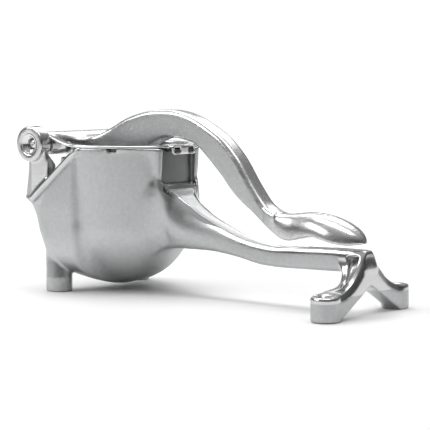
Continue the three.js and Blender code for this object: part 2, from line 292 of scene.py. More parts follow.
# ---- shapes of the body casting ----
RAIL = [(34, 70.2), (38, 70.0), (42.4, 68.6), (47, 62.6), (52, 58.3), (57, 54.8), (67, 49.1),
        (77.5, 44.5), (88, 40.3), (98, 37.4), (109, 35.5), (120, 34.8), (138, 35.5),
        (158, 36.2), (176, 36.5), (184, 36.5)]
HANDLE_TOP_HALF = [(30, 18.4), (36, 18.4), (42.4, 18.3), (47, 10.6), (52, 8.0), (57, 6.9),
                   (70, 6.5), (98, 6.5), (125, 6.6), (165, 6.8), (173, 6.3), (179, 4.4),
                   (186, 3.4)]
HANDLE_MID_HALF = [(30, 19.5), (36.5, 17.8), (42, 16.6), (48, 15), (56, 12.1), (64, 9.7),
                   (72, 8.1), (82, 7.0), (98, 6.6), (125, 6.6), (165, 6.8), (186, 6.8)]
HANDLE_LOW_HALF = [(30, 12), (42, 10.5), (48, 9.6), (56, 8.4), (64, 7.4), (72, 6.8),
                   (98, 6.5), (125, 6.5), (165, 6.7), (186, 6.7)]
HANDLE_UNDER = [(20, 26.0), (30, 27.4), (44, 28.6), (52.5, 29.0), (72, 28.7), (86, 27.3),
                (96.3, 25.6), (102.3, 24.3), (110.4, 23.2), (125.7, 22.8), (141.3, 23.2),
                (166, 23.8), (181, 24.2)]
NOSE_X = -41.0
NOSE_SQUARE = 0.775         # turns height above that edge into distance from it
NOSE_RISE = (TOP - 1.4 - LIP_Z) / 38.0
# the cone's lean that makes it touch the ball and pass through the rim
LEAN = math.acos(WAIST_R / math.hypot(RIM_R, TOP - WAIST_Z)) - math.atan2(TOP - WAIST_Z, RIM_R)


def bowl(x, y, z, inset=0.0):
    """A half ball that runs on upwards as a tangent cone."""
    rho = np.sqrt(x * x + y * y)
    rise = z - WAIST_Z
    c, s = math.cos(LEAN), math.sin(LEAN)
    ball = np.sqrt(rho * rho + rise * rise)
    return np.where(rise * c + rho * s < 0, ball, rho * c - rise * s) - (WAIST_R - inset)


SPOUT_SIDE = [(0, 6.4), (12, 6.7), (16.6, 7.2), (21.6, 8), (27.9, 9.8), (32, 11.5), (35.1, 13.4),
              (38.8, 16.4), (41.3, 20), (43.1, 24.5), (44, 33), (44.4, 45), (44.8, 57),
              (44.8, 80), (44.8, 110)]
SPOUT_REAR = [(10, 6.2), (-6, 6.3), (-12, 6.8), (-18, 8.2), (-24, 11.5), (-28.5, 17),
              (-31.5, 23), (-34.2, 29.5), (-36.8, 36), (-38.3, 41), (-39.6, 46), (-42.2, 51.4),
              (-45.3, 54.4), (LIP_X, 57.2)]


def spout(x, y, z, inset=0.0, front=-4.5):
    """The form behind the bowl: flat side walls, rounded underneath, with a lip at the top."""
    side = flat_distance(y, z, ring(SPOUT_SIDE, [(44.8, 110), (-60, 110)],
                                    [(-60, 110), (-60, 6.4), (0, 6.4)]))
    rear = flat_distance(x, z, ring(SPOUT_REAR, [(LIP_X, 57.2), (LIP_X, 110)],
                                    [(LIP_X, 110), (60, 110)], [(60, 110), (60, 6.2), (10, 6.2)]))
    return soft_max(soft_max(side, rear, 7) + inset, x - front, 3.5)


def nose_height(x):
    """The spout's upper edge: level at the lip, then straight up to the rim."""
    return np.maximum(LIP_Z, LIP_Z + (x - NOSE_X) * NOSE_RISE)


def above_nose(x, y, z):
    return (nose_height(x) - z) * np.where(x < NOSE_X, 1, NOSE_SQUARE)


def rear_leg(x, y, z):
    """A round leg that leans back and inwards, so that it goes in under the belly."""
    cx, cy, r = REAR_LEG
    rise = np.clip(z - 9, 0, 40)
    side = np.sqrt((x - cx + rise * 0.14) ** 2 + (y - cy + rise * 0.16) ** 2) - (r + rise * 0.02)
    return soft_max(side, soft_max(-z, z - 46), 1.0)


def handle(x, y, z):
    """The lower handle: its half width is a parabola through three outlines over its height."""
    top, middle, low = (along(half, x) for half in (HANDLE_TOP_HALF, HANDLE_MID_HALF,
                                                    HANDLE_LOW_HALF))
    rail = along(RAIL, x)
    under = along(HANDLE_UNDER, x)
    level = np.clip((z - under) / (rail - under), 0, 1)
    half = (low * (1 - level) * (1 - 2 * level) + 4 * middle * level * (1 - level)
            + top * level * (2 * level - 1))
    slope = np.gradient(rail.ravel(), x.ravel())[:, None, None]
    above = (z - rail) / np.sqrt(1 + slope ** 2)
    side = (y - half) * 0.96
    body = soft_max(soft_max(side, under - z, 3.2), above, 0.5)
    bevel = (side + 1.0) * 0.957 + above * 0.29
    front = x - along([(0, 182.6), (24, 182.5), (30, 181.9), (36, 181.4), (60, 181)], z)
    shape = soft_max(soft_max(body, bevel, 0.4), front, 2.0)
    return soft_max(shape, 26 - x)


def top_groove(x, y, z):
    """The hollow of the handle's top and the recess between the cheeks."""
    inner = along([(30, CHEEK_IN), (42.4, CHEEK_IN), (47, 8.6), (52, 6.0), (57, 4.9),
                   (70, 4.6), (165, 4.6), (172, 4.2), (186, 3.6)], x)
    drop = along([(42.4, 4.0), (47, 2.2), (57, 1.4), (120, 1.2), (165, 1.1), (174, 0.2),
                  (184, -2)], x)
    floor = np.where(x < 42.4, RECESS_FLOOR, along(RAIL, x) - drop)
    wall = 41.3 - np.sqrt(x * x + y * y)
    return soft_max(soft_max(y - inner, floor - z, 1.4), wall, 2.2)


def cheek(x, y, z):
    """Side wall of the recess. Its outer face turns from the handle's side to the rim."""
    reach = along([(50, 40.6), (66, 41.2), (78, 42.0), (90, 42.6)], z)
    turn = np.radians(along([(50, 86), (66, 86), (72, 82), (80, 64), (89.4, 41), (100, 20)], z))
    facet = ((x - 42.6) * np.cos(turn) + (y - 18.2) * np.sin(turn)) * 0.92
    shape = soft_max(facet, x - reach, 1.0)
    shape = soft_max(shape, soft_max(CHEEK_IN - 3 - y, 22 - x))
    return soft_max(soft_max(shape, z - TOP, 0.6), 60 - z, 4)


def hinge_post(x, y, z):
    """The post that carries the hinge boss beside the lip."""
    outline = ring(
        [(LIP_X - 0.3, 56.5), (-47.6, 61), (-46.0, 68), (-44.6, 76), (-44.4, 84), (-44.6, 90)],
        [(-44.6, 90), (-28, 90)],
        [(-28, 90), (-26.6, 84), (-26.4, 78), (-27.6, 69), (-30, 61), (-33, 55)],
    )
    side = flat_distance(x, z, outline)
    depth = soft_max(36.2 - y + np.maximum(z - 78, 0) * 0.9, y - 45.0)
    facet = (x + 36.8) * -0.275 + (y - 45.0) * 0.961
    return soft_max(soft_max(side, depth, 1.8), facet, 1.0)


def boss(x, y, z):
    return rod_y(x, y, z, HINGE_X, HINGE_Z, BOSS_R, BOSS_IN, BOSS_OUT, 1.0)


def boss_recess(x, y, z):
    """The cone-shaped mouth of the boss."""
    r = np.sqrt((x - HINGE_X) ** 2 + (z - HINGE_Z) ** 2)
    cone = (r - 6.9 + (BOSS_OUT - y) * 0.95) * 0.72
    return soft_max(cone, BOSS_OUT - 3.2 - y)


def bead(x, y, z):
    """The rolled edge along the sloping top of the spout's side wall."""
    line = smooth([(-1, TOP - 1.2), (-6, 85.6), (-12, 81.0), (-26, 69.5), (-40.5, 57.8)], 3)
    shape = FAR
    for (x0, z0), (x1, z1) in zip(line, line[1:]):
        piece = capsule(x, y, z, (x0, 43.6, z0 - 0.4), (x1, 43.6, z1 - 0.4), 1.9)
        shape = np.minimum(shape, piece)
    return shape


def bead_groove(x, y, z):
    """A narrow groove along the lower side of the rolled edge."""
    line = smooth([(-3, 83.0), (-8, 79.6), (-14, 74.8), (-28, 63.4), (-40, 53.6)], 3)
    shape = FAR
    for (x0, z0), (x1, z1) in zip(line, line[1:]):
        shape = np.minimum(shape, capsule(x, y, z, (x0, 45.3, z0 + 1.2), (x1, 45.3, z1 + 1.2), 1.1))
    return shape


def rim_notch(x, y, z):
    """A shallow slot across the rim, under the strainer's flange."""
    turn = math.radians(60.5)
    across = np.abs(x * math.sin(turn) - y * math.cos(turn)) - 2.9
    return soft_max(across, soft_max(87.6 - z, 40.5 - np.sqrt(x * x + y * y)), 0.6)


def inner_ledge(x, y, z):
    """A raised pad inside the bowl's wall, beside the spout."""
    rho = np.sqrt(x * x + y * y)
    wall = soft_max(rho - 42.6, 39.3 - rho)
    outline = ring([(-10, 60), (-10, 82.0), (-12.4, 83.2), (-22, 83.2), (-25, 81.6), (-26, 78),
                    (-27, 60)])
    return soft_max(wall, flat_distance(x, z, outline), 1.2)


YOKE_TOP = [(0, 36.4), (2.3, 36.0), (5, 33.6), (7.9, 29.6), (9.7, 27.0), (12.6, 23.8),
            (17.1, 19.8), (23.6, 16.2), (29, 14.6), (36, FOOT_TOP + 0.2), (60, FOOT_TOP + 0.2)]
YOKE_BACK_TOP = [(0, 36.0), (5, 31.5), (7.6, 26.4), (9, 23.6), (11, 20.0), (13.6, 17.6),
                 (18, 16.4), (25, 15.7), (36, FOOT_TOP + 0.2), (60, FOOT_TOP + 0.2)]


def yoke_upper(x, y, z):
    """Distance above the legs' upper surface, which drops towards the bowl."""
    share = step_up(x, 169, 179)
    front, back = along(YOKE_TOP, y), along(YOKE_BACK_TOP, y)
    level = back + (front - back) * share
    steep = np.interp(y, [0, 3, 6, 12, 18, 26, 60], [0.4, 1.2, 1.5, 1.1, 0.6, 0.15, 0])
    return (z - level) / np.sqrt(1 + steep ** 2)


def yoke_front(z):
    return along([(-5, 182.9), (14, 182.9), (24, 182.6), (30, 181.6), (36, 179.4), (44, 176)], z)


def yoke_leg(x, y, z):
    """One leg of the yoke, from the handle's end down to its foot."""
    upper = yoke_upper(x, y, z)
    under = ((17.2 - y * 0.565) - z) * 0.87
    back = along([(-2, 168), (14, 168.1), (20, 168.6), (25, 167.2), (30, 163), (40, 158)], z) - x
    front = x - yoke_front(z)
    shape = soft_max(soft_max(upper, under, 1.2), back, 2.4)
    shape = soft_max(shape, (under + back + 4.2) * math.sqrt(0.5), 2.0)
    bevel = (front + 1.4) * 0.937 + upper * 0.35
    shape = soft_max(soft_max(shape, front, 0.5), bevel, 0.5)
    return soft_max(shape, soft_max(y - FOOT[1], 0.4 - z))


def foot(x, y, z):
    return post_z(x, y, z, FOOT[0], FOOT[1], FOOT[2], 0, FOOT_TOP, 1.6)


def foot_hole(x, y, z):
    """The countersunk screw hole."""
    r = np.sqrt((x - FOOT[0]) ** 2 + (y - FOOT[1]) ** 2)
    return np.minimum(r - SCREW_R, (r - SCREW_CONE_R + (FOOT_TOP - z)) * math.sqrt(0.5))


def yoke_pocket(x, y, z):
    """The three-cornered hollow in the outer side of each leg."""
    outline = ring([(170.4, 33.0), (178.2, 33.2)], [(178.2, 33.2), (177.8, 24), (175.4, 17.4)],
                   [(175.4, 17.4), (173.8, 17.8), (173.0, 24), (170.4, 33.0)])
    side = flat_distance(x, z, outline)
    return soft_max(side, -(yoke_upper(x, y, z) + 2.6), 1.0)


def body_field(step):
    f = Field((-51.2, 0, -1.6), (185.2, 50.6, 103.8), step)
    f.join(bowl)
    f.join(spout, np.interp(f.z, [14, 30, 45, 88], [12, 9, 6, 3]).astype(np.float32))
    f.join(rear_leg, 1.6)
    f.join(handle, np.interp(f.z, [24, 34, 60, 70], [5, 7, 7, 4]).astype(np.float32))
    f.join(cheek, 1.2)
    f.keep(lambda x, y, z: z - TOP, 0.8)
    f.carve(above_nose, 0.8, within=((-52, -2.2), (0, 51), (52, 104)))
    f.carve(lambda x, y, z: bowl(x, y, z, WALL), 1.6)
    f.carve(lambda x, y, z: soft_max(spout(x, y, z, WALL, front=-8), 12 - z, 3), 3.0)
    f.join(hinge_post, 1.6, within=((-51, -18), (30, 50), (48, 98)))
    f.join(boss, 0.5, within=((-52, -22), (36, 51), (76, 104)))
    f.carve(boss_recess, 0.5, within=((-48, -28), (42, 51), (80, 102)))
    f.carve(lambda x, y, z: rod_y(x, y, z, HINGE_X, HINGE_Z, POST_BORE, 30, FAR), 0.4,
            within=((-45, -32), (28, 51), (84, 98)))
    f.join(bead, 0.8, within=((-48, 6), (34, 50), (50, 94)))
    f.carve(bead_groove, 0.6, within=((-48, 6), (40, 50), (46, 94)))
    f.join(inner_ledge, 1.2, within=((-34, -4), (22, 48), (54, 90)))
    f.carve(rim_notch, 0.3, within=((12, 32), (30, 46), (85, 94)))
    f.carve(top_groove, 1.0, within=((36, 184), (0, 22), (28, 92)))
    f.join(yoke_leg, 1.4, within=((152, 186), (0, 46), (-2, 42)))
    f.join(foot, 2.0, within=((162, 186), (20, 48), (-2, 20)))
    f.carve(yoke_pocket, 0.8, within=((162, 184), (0, 32), (12, 38)))
    f.carve(foot_hole, 0.5, within=((166, 186), (26, 44), (-2, 20)))
    f.keep(lambda x, y, z: -z)
    return f


def body_polish(p, n):
    """How far inside the polished areas a place is: rail, boss, spout's edge, yoke and rim.
    The recess under the strainer's tab is darkened as painted shade."""
    x, y, z = p[:, 0], np.abs(p[:, 1]), p[:, 2]
    inner = along([(42, 15.5), (47, 8.6), (57, 4.9), (70, 4.6), (186, 4.2)], x)
    nose = NOSE_SQUARE * (z - (LIP_Z + (x - NOSE_X) * NOSE_RISE))
    upper = yoke_upper(x, y, z)
    up = (n[:, 2] - 0.5) * 3
    shine = highest(
        lowest(z - along(RAIL, x) + 3.3, x - 43.5, y - inner + 0.4, 168 - x),
        lowest(z - 80, -24 - x, y - 35),
        lowest(nose + 2.0, -2.5 - x, x - NOSE_X, y - 40, z - 56),
        lowest(upper + 3.5, x - 167.5),
        lowest(z - 26, x - 179),
        lowest(z - 13, x - 165),
        lowest(z - TOP + 0.6, up),
        lowest(z - 82.6, -8 - x, up))
    # painted shade: the recess between the cheeks gets the depth that darkens its colour
    recess = (x > 36) & (x < 44) & (y < 15.3) & (z > 67.5) & (z < TOP - 0.8)
    return np.where(recess, PAINTED_SHADE_DEPTH, np.maximum(shine, SATIN_DEPTH))


# ---- shapes of the lever ----
ARM_TOP = [(-46, 95), (-38, 95.2), (-30, 94.0), (-22, 94.3), (-11.3, 99.6), (2.3, 106.4),
           (16.5, 110.6), (27.1, 112.1), (42.8, 112.0), (56.8, 108.6), (69.6, 102.4),
           (80.7, 95.4), (91.6, 84.5), (101.3, 70.8), (110.9, 59.2), (118, 55.2), (124.5, 54.2),
           (132, 54.8), (141, 55.9), (151, 55.4), (160.4, 53.3), (167.9, 50.4), (173.4, 47.3),
           (177, 44.0), (178.6, 41.0)]
ARM_UNDER = [(178.6, 40.0), (172, 39.3), (164, 40.2), (156, 42.0), (149, 43.1), (141.5, 41.8),
             (131.3, 39.3), (123.4, 40.3), (113.8, 45.8), (102.4, 54.2), (89.7, 63.5),
             (77.5, 76.5), (61.1, 91.2), (52, 94.3), (42, 95.7), (33, 94.9), (24, 91.6)]
ROOT_UNDER = [(24, 91.6), (16, 85), (11, 79), (5, PIN_Z - 5), (-5, PIN_Z - 5), (-10, 79),
              (-19, 84.4), (-30, 85), (-46, 86)]
LEVER_HALF = [(-50, 6.5), (98, 6.5), (108, 6.9), (118, 7.2), (128, 8.0), (136, 9.8),
              (146, 12.2), (155, 13.4), (162, 13.2), (168, 11.6), (173, 8.6), (176.4, 5.0),
              (178.2, 2.0), (180, 0.2)]


def arm(x, y, z):
    """The arched arm, square in section, that swells into the leaf-shaped grip."""
    profile = flat_distance(x, z, ring(ARM_TOP, ARM_UNDER, ROOT_UNDER))
    half = along(LEVER_HALF, x)
    top = along(ARM_TOP, x)
    under = along(ARM_UNDER[::-1], x)
    level = np.clip((z - under) / np.maximum(top - under, 1), 0, 1)
    power = along([(-50, 14), (106, 14), (116, 6), (126, 3.2), (138, 2.4), (180, 2.2)], x)
    dome = np.maximum((1 - level ** power) ** (1 / power), 0.04)
    side = y - half * (1 + (dome - 1) * step_up(x, 108, 122))
    leafy = step_up(x, 112, 140)
    edge = 3.6 - 2.0 * leafy
    low_edge = 1.8 - leafy
    blend = np.where(z > (top + under) / 2, edge, low_edge)
    return soft_max(profile, side * (1 - 0.25 * leafy), blend)


def hub(x, y, z):
    return rod_y(x, y, z, HINGE_X, HINGE_Z, HUB_R, -1, HUB_HALF, 1.2)


def flare(x, y, z):
    """The web that spreads the arm's root out to the hub."""
    half = along([(-46, 33), (HINGE_X, 31), (-34, 24.5), (-29, 16), (-23, 9.5), (-16, 5.5),
                  (-8, 2)], x)
    height = along([(-46, 4.4), (HINGE_X, 5.0), (-30, 3.6), (-20, 3.8), (-8, 4.0)], x)
    middle = along([(-46, 90.9), (-30, 90.4), (-20, 91.0), (-8, 94)], x)
    return soft_max(np.abs(z - middle) - height, (y - half) * 0.72, 3.0)


def lever_field(step):
    f = Field((-47, 0, 37.5), (181, 38.4, 113.4), step)
    f.join(arm)
    f.join(hub, 2.5, within=((-47, -28), (0, 38.4), (80, 102)))
    f.join(flare, 4.5, within=((-47, -4), (0, 38.4), (78, 104)))
    f.carve(lambda x, y, z: rod_y(x, y, z, HINGE_X, HINGE_Z, HUB_BORE, -1, FAR), 0.4,
            within=((-44, -33), (0, 38.4), (85, 97)))
    f.carve(lambda x, y, z: rod_y(x, y, z, 0, PIN_Z, PIN_BORE, -1, FAR), 0.4,
            within=((-6, 6), (0, 12), (74, 86)))
    return f


def lever_polish(p, n):
    """How far inside the polished areas a place is: the arm's top, the grip and the root."""
    x, y, z = p[:, 0], np.abs(p[:, 1]), p[:, 2]
    depth = flat_distance(x, z, ring(ARM_TOP, [(178.6, -40), (-46, -40)]))
    return highest(
        lowest(depth + 3.0, (n[:, 2] + 0.3) * 4),
        (x - 117) * 0.15,
        lowest(-9 - x, x + 31.5, (n[:, 2] - 0.1) * 4, y - 5.5))


# ---- press head ----
def head_field(step):
    f = Field((-34, 0, 39.5), (34, 34, 88.5), step)
    outline = ring([(-4, 41.5), (0, 41.5), (8, 42.4), (15.5, 46), (22, 52), (27, 59.5),
                    (30.3, 68.5)], [(31.5, 70), (31.5, 74.5)], [(30.5, 75.5), (25, 75.5)],
                   [(23.5, 74), (21, 70.5), (13, 68), (-4, 68)])
    f.join(lambda x, y, z: flat_distance(np.sqrt(x * x + y * y), z, outline))

    def lug(x, y, z):
        """One of the two ears that the pin goes through."""
        plate = ring([(-11, 66), (-6.2, PIN_Z)], [(6.2, PIN_Z), (11, 66)])
        shape = np.minimum(np.sqrt(x * x + (z - PIN_Z) ** 2) - 6.2, flat_distance(x, z, plate))
        return soft_max(shape, soft_max(7 - y, y - 11.5), 0.8)

    f.join(lug, 1.6)
    f.carve(lambda x, y, z: rod_y(x, y, z, 0, PIN_Z, PIN_BORE, -1, FAR), 0.3)

    def flute(x, y, z):
        """Shallow channels that lead the juice down the dome."""
        turn = np.arctan2(y, x)
        rho = np.sqrt(x * x + y * y)
        dip = 0.7 * (0.5 + 0.5 * np.cos(12 * turn)) ** 4
        dip = dip * step_up(rho, 5, 9) * (1 - step_up(z, 66, 69))
        return -(flat_distance(rho, z, outline) + dip)

    f.carve(flute, 0.4)
    return f


# ---- strainer ----
WING = [(-46, 98.1), (-38, 98.0), (-35, 97.2), (-28.6, 95.2), (-21, 93.0), (-14, 91.3),
        (-8, 90.6), (0, 90.4), (60, 90.4)]
WING_SIDE = [(-46, 39.2), (-36, 39.4), (-26, 40.7), (-14, 42.2), (-8, 42.9)]
WING_INNER = [(-46, 37.9), (-36, 37.2), (-26, 35.6), (-14, 36.2), (-8, 36.7)]
CUP_PROFILE = [(-2, 33.6), (0, 33.6), (12, 34.2), (22, 37), (29, 42.2), (33.4, 49), (35.8, 57.4),
               (36.8, 70), (38.3, TOP + 0.9)]
MOUTH_BACK = [(-50, 79.5), (-36, 80), (-27, 84.6), (-20, 91), (-12, 99), (50, 99)]
SHEET = 0.62
CUP_MOUTH_R = 37.6
FLANGE_R = 43.7
WING_START = -9.0
DRAIN_R = 1.35
DRAIN_RINGS = ((0, 1), (8, 8), (16, 16), (24, 24))
TAB_HALF = 10.4
TAB_X = 46.5
TAB_TOP = 91.3
TAB_FOOT = 85.4
TAB_WALL = 1.1


def flange_edge(x, y, inset=0.0):
    """Distance outside the flange's edge: round in front, straight along the wings."""
    rho = np.sqrt(x * x + y * y)
    side = (y - along(WING_SIDE, x) + inset) * 0.95
    return np.where(x > WING_START, rho - FLANGE_R + inset, side)


def strainer_field(step):
    f = Field((-47, 0, 31.6), (48.4, 45.6, 99.6), step)
    skin = np.vstack([smooth(CUP_PROFILE, 4), [(38.3, 130), (-60, 130), (-60, 33.6)]])

    def cup(x, y, z):
        return np.abs(flat_distance(np.sqrt(x * x + y * y), z, skin)) - SHEET

    f.join(cup)
    f.keep(lambda x, y, z: z - (along(WING, x) + 0.2))
    f.keep(lambda x, y, z: z - along(MOUTH_BACK, x), 0.6)
    f.carve(lambda x, y, z: np.sqrt(x * x + y * y) - CUP_MOUTH_R,
            within=((-47, 48.4), (0, 45.6), (86.5, 99.6)))

    def flange(x, y, z):
        """The rim's flange, with a wing each side that rises to the hinge."""
        rho = np.sqrt(x * x + y * y)
        inner = np.where(x > WING_START, CUP_MOUTH_R - rho, along(WING_INNER, x) - y)
        plane = np.abs(z - along(WING, x)) - SHEET
        return soft_max(soft_max(flange_edge(x, y), inner), plane, 0.5)

    f.join(flange, 0.8)

    def rolled_edge(x, y, z):
        return np.hypot(flange_edge(x, y, 0.5), z - along(WING, x) + 0.1) - 0.85

    f.join(rolled_edge, 0.3)

    def ear(x, y, z):
        """The upright ear under the wing, bored for the axle."""
        outline = ring([(HINGE_X - 7.2, HINGE_Z), (HINGE_X - 5.2, HINGE_Z + 5.2),
                        (HINGE_X, 97.6), (-30, 95.2), (-22, 92.6), (-16, 91)],
                       [(-16, 88.6), (-28, 86.4), (HINGE_X + 3, HINGE_Z - 6.6),
                        (HINGE_X - 4, HINGE_Z - 6.2), (HINGE_X - 7.2, HINGE_Z)])
        return soft_max(flat_distance(x, z, outline), np.abs(y - 38.7) - 0.55, 0.4)

    f.join(ear, 0.5, within=((-47, -10), (34, 43), (80, 99.6)))

    def tab(x, y, z):
        """The finger tab at the front: a folded box with two windows."""
        box = soft_max(soft_max(x - TAB_X, y - TAB_HALF, 1.4),
                       soft_max(z - TAB_TOP, TAB_FOOT - z), 1.0)
        shell = soft_max(box, -(box + TAB_WALL))
        shell = soft_max(shell, 40.5 - x)
        window = soft_max(soft_max(3.7 - y, y - 9.0), soft_max(z - 90.2, 86.6 - z), 0.8)
        window = soft_max(window, TAB_X - 3 - x)
        below = soft_max(z - (TAB_FOOT + 1.3), x - (TAB_X - TAB_WALL))
        return soft_max(soft_max(shell, -window, 0.4), -below)

    f.join(tab, 0.4, within=((38, 48.4), (0, 14), (82, 94)))
    f.carve(lambda x, y, z: rod_y(x, y, z, HINGE_X, HINGE_Z, HUB_BORE, -1, FAR), 0.3,
            within=((-44, -33), (34, 43), (85, 97)))
    for radius, count in DRAIN_RINGS:
        for i in range(count):
            angle = (i + 0.5) / count * 2 * math.pi
            cx, cy = radius * math.cos(angle), radius * math.sin(angle)
            if cy > -3:
                f.carve(lambda x, y, z: np.hypot(x - cx, y - cy) - DRAIN_R, 0.3,
                        within=((cx - 3, cx + 3), (max(cy - 3, 0), max(cy + 3, 1)), (31.6, 46)))
    return f


# ---- small turned pieces ----
def turned_y(name, profile, centre, material, segments=96):
    """A body of revolution about a line along Y: profile points are (radius, y) in mm."""
    cx, cz = centre
    rows = []
    for radius, y in profile:
        turn = np.arange(segments) * 2 * math.pi / segments
        rows.append(np.stack([AXIS_X + (cx + radius * np.cos(turn)) * MM,
                              np.full(segments, y * MM),
                              (cz + radius * np.sin(turn)) * MM], 1))
    verts = np.vstack(rows)
    faces = []
    closed = profile[0] == profile[-1]
    count = len(profile) - 1 if closed else len(profile)
    if closed:
        verts = verts[: count * segments]
    for i in range(len(profile) - 1):
        for j in range(segments):
            k = (j + 1) % segments
            a, b = i * segments, ((i + 1) % count) * segments
            faces.append((a + j, a + k, b + k, b + j))
    if not closed:
        faces.append(tuple(range(segments))[::-1])
        faces.append(tuple((count - 1) * segments + j for j in range(segments)))
    mesh = bpy.data.meshes.new(name)
    mesh.from_pydata(verts.tolist(), [], faces)
    mesh.validate()
    made = bpy.data.objects.new(name, mesh)
    bpy.context.scene.collection.objects.link(made)
    bpy.context.view_layer.objects.active = made
    made.select_set(True)
    bpy.ops.object.mode_set(mode="EDIT")
    bpy.ops.mesh.select_all(action="SELECT")
    bpy.ops.mesh.normals_make_consistent(inside=False)
    bpy.ops.object.mode_set(mode="OBJECT")
    made.select_set(False)
    mesh.shade_smooth()
    mesh.set_sharp_from_angle(angle=math.radians(38))
    mesh.materials.append(material)
    return made


def mirrored(profile, side):
    """The profile itself for side 1, and its mirror image across y = 0 for side -1."""
    return [(radius, side * y) for radius, y in profile]


# ---- materials ----
def new_material(name):
    material = bpy.data.materials.new(name)
    material.use_nodes = True
    tree = material.node_tree
    return material, tree, tree.nodes["Principled BSDF"]


def node(tree, kind, **values):
    made = tree.nodes.new(kind)
    for key, value in values.items():
        setattr(made, key, value)
    return made


def noise(tree, coords, scale, detail, roughness=0.5, stretch=None):
    made = node(tree, "ShaderNodeTexNoise")
    made.inputs["Scale"].default_value = scale
    made.inputs["Detail"].default_value = detail
    made.inputs["Roughness"].default_value = roughness
    source = coords
    if stretch:
        mapping = node(tree, "ShaderNodeMapping")
        mapping.inputs["Scale"].default_value = stretch
        tree.links.new(coords, mapping.inputs["Vector"])
        source = mapping.outputs["Vector"]
    tree.links.new(source, made.inputs["Vector"])
    return made.outputs["Fac"]


def spread(tree, value, low, high, out_low, out_high):
    made = node(tree, "ShaderNodeMapRange")
    made.inputs["From Min"].default_value = low
    made.inputs["From Max"].default_value = high
    made.inputs["To Min"].default_value = out_low
    made.inputs["To Max"].default_value = out_high
    tree.links.new(value, made.inputs["Value"])
    return made.outputs["Result"]


def mix_values(tree, share, a, b):
    made = node(tree, "ShaderNodeMix", data_type="FLOAT")
    tree.links.new(share, made.inputs["Factor"])
    tree.links.new(a, made.inputs["A"])
    tree.links.new(b, made.inputs["B"])
    return made.outputs["Result"]


def mix_colours(tree, share, a, b):
    made = node(tree, "ShaderNodeMix", data_type="RGBA")
    tree.links.new(share, made.inputs["Factor"])
    for socket, value in (("A", a), ("B", b)):
        if isinstance(value, tuple):
            made.inputs[socket].default_value = value
        else:
            tree.links.new(value, made.inputs[socket])
    return made.outputs["Result"]


def cast_aluminium(name, satin, polished, satin_rough, polished_rough):
    """Blasted casting skin, with polished areas where the mesh's polish attribute says so, and
    painted shade where it is at the shade depth.
    """
    material, tree, shader = new_material(name)
    coords = node(tree, "ShaderNodeTexCoord").outputs["Object"]
    depth = node(tree, "ShaderNodeAttribute", attribute_name="polish").outputs["Fac"]
    polish = spread(tree, depth, -0.35, 0.35, 0, 1)
    # painted shade: the share of darkening, 1 where the polish attribute is at the shade depth
    painted_shade_share = spread(tree, depth, PAINTED_SHADE_DEPTH, PAINTED_SHADE_DEPTH + 8, 1, 0)
    grain = noise(tree, coords, 1500, 3, 0.65)
    mottle = noise(tree, coords, 420, 4, 0.65)
    cloud = noise(tree, coords, 26, 3)
    brushed = noise(tree, coords, 420, 2, 0.5, stretch=(0.12, 1.0, 1.0))
    shade = spread(tree, mottle, 0.3, 0.7, 0.0, 1.0)
    low, high = (tuple(c * k for c in satin) + (1,) for k in (0.93, 1.06))
    blasted = mix_colours(tree, shade, low, high)
    # painted shade: the satin colour darkened to 0.42 where that share is 1
    satin_colour = mix_colours(tree, painted_shade_share, blasted, tuple(c * 0.42 for c in satin) + (1,))
    colour = mix_colours(tree, polish, satin_colour, polished + (1,))
    rough_grain = spread(tree, grain, 0.3, 0.7, satin_rough - 0.06, satin_rough + 0.08)
    rough_shine = spread(tree, brushed, 0.3, 0.7, polished_rough - 0.04, polished_rough + 0.07)
    roughness = mix_values(tree, polish, rough_grain, rough_shine)
    height_satin = spread(tree, grain, 0.2, 0.8, 0.0, 1.0)
    height_shine = spread(tree, brushed, 0.2, 0.8, 0.45, 0.55)
    height = mix_values(tree, polish, height_satin, height_shine)
    bump = node(tree, "ShaderNodeBump")
    bump.inputs["Strength"].default_value = 0.55
    bump.inputs["Distance"].default_value = 0.00012
    tree.links.new(height, bump.inputs["Height"])
    wave = node(tree, "ShaderNodeBump")
    wave.inputs["Strength"].default_value = 0.1
    wave.inputs["Distance"].default_value = 0.0006
    tree.links.new(cloud, wave.inputs["Height"])
    tree.links.new(bump.outputs["Normal"], wave.inputs["Normal"])
    tree.links.new(colour, shader.inputs["Base Color"])
    tree.links.new(roughness, shader.inputs["Roughness"])
    tree.links.new(wave.outputs["Normal"], shader.inputs["Normal"])
    shader.inputs["Metallic"].default_value = 1.0
    return material


def polished_steel(name, colour, rough):
    """Bright sheet or bar with fine polishing marks and faint smears."""
    material, tree, shader = new_material(name)
    coords = node(tree, "ShaderNodeTexCoord").outputs["Object"]
    smear = noise(tree, coords, 60, 4, 0.6)
    marks = noise(tree, coords, 700, 2, 0.5, stretch=(1.0, 1.0, 0.1))
    low, high = (tuple(c * k for c in colour) + (1,) for k in (0.94, 1.04))
    tree.links.new(mix_colours(tree, smear, low, high), shader.inputs["Base Color"])
    tree.links.new(spread(tree, marks, 0.3, 0.7, rough - 0.03, rough + 0.06),
                   shader.inputs["Roughness"])
    bump = node(tree, "ShaderNodeBump")
    bump.inputs["Strength"].default_value = 0.12
    bump.inputs["Distance"].default_value = 0.00008
    tree.links.new(marks, bump.inputs["Height"])
    tree.links.new(bump.outputs["Normal"], shader.inputs["Normal"])
    shader.inputs["Metallic"].default_value = 1.0
    return material


def paper_white(name):
    material, tree, shader = new_material(name)
    coords = node(tree, "ShaderNodeTexCoord").outputs["Object"]
    colour = mix_colours(tree, noise(tree, coords, 3, 2), (0.93, 0.93, 0.93, 1),
                         (0.96, 0.96, 0.96, 1))
    tree.links.new(colour, shader.inputs["Base Color"])
    shader.inputs["Roughness"].default_value = 0.9
    shader.inputs["Specular IOR Level"].default_value = 0.1
    return material


